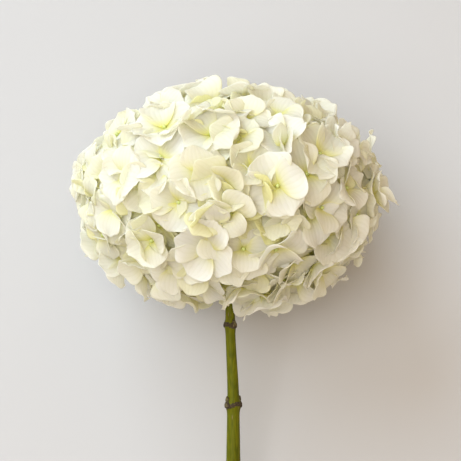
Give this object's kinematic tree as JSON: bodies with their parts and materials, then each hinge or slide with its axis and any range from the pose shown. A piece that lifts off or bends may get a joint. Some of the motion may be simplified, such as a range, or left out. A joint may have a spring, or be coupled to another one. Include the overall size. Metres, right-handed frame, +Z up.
{
  "type": "cut hydrangea",
  "caption": "Cut mophead hydrangea with a round white flower head on a straight green stem stripped of leaves, lying on its side.",
  "frame": {"origin": "on the surface the flower lies on, under the middle of its box", "axes": "+Z up, +Y along the stem from its cut end towards the head, +X across the head"},
  "size_m": [0.205, 0.3324, 0.1928],
  "materials": {
    "stem_bark": "satin",
    "ray_green": "satin",
    "petal_white": "matte"
  },
  "bodies": {
    "root": {"stem": "stem_bark", "ray_1": "ray_green", "ray_2": "ray_green", "ray_3": "ray_green", "ray_4": "ray_green", "ray_5": "ray_green", "ray_6": "ray_green", "ray_7": "ray_green", "ray_8": "ray_green", "ray_9": "ray_green", "spray_01": "petal_white", "spray_02": "petal_white", "spray_03": "petal_white", "spray_04": "petal_white", "spray_05": "petal_white", "spray_06": "petal_white", "spray_07": "petal_white", "spray_08": "petal_white", "spray_09": "petal_white", "spray_10": "petal_white", "spray_11": "petal_white", "spray_12": "petal_white", "spray_13": "petal_white", "spray_14": "petal_white", "spray_15": "petal_white", "spray_16": "petal_white", "spray_17": "petal_white", "spray_18": "petal_white", "spray_19": "petal_white", "spray_20": "petal_white", "spray_21": "petal_white", "spray_22": "petal_white", "spray_23": "petal_white", "spray_24": "petal_white", "spray_25": "petal_white", "spray_26": "petal_white", "spray_27": "petal_white", "spray_28": "petal_white", "spray_29": "petal_white", "spray_30": "petal_white", "spray_31": "petal_white", "spray_32": "petal_white", "spray_33": "petal_white", "spray_34": "petal_white", "spray_35": "petal_white", "spray_36": "petal_white", "spray_37": "petal_white", "spray_38": "petal_white", "spray_39": "petal_white", "spray_40": "petal_white", "spray_41": "petal_white", "spray_42": "petal_white", "spray_43": "petal_white", "spray_44": "petal_white", "spray_45": "petal_white", "spray_46": "petal_white", "spray_47": "petal_white", "spray_48": "petal_white"}
  },
  "joints": []
}
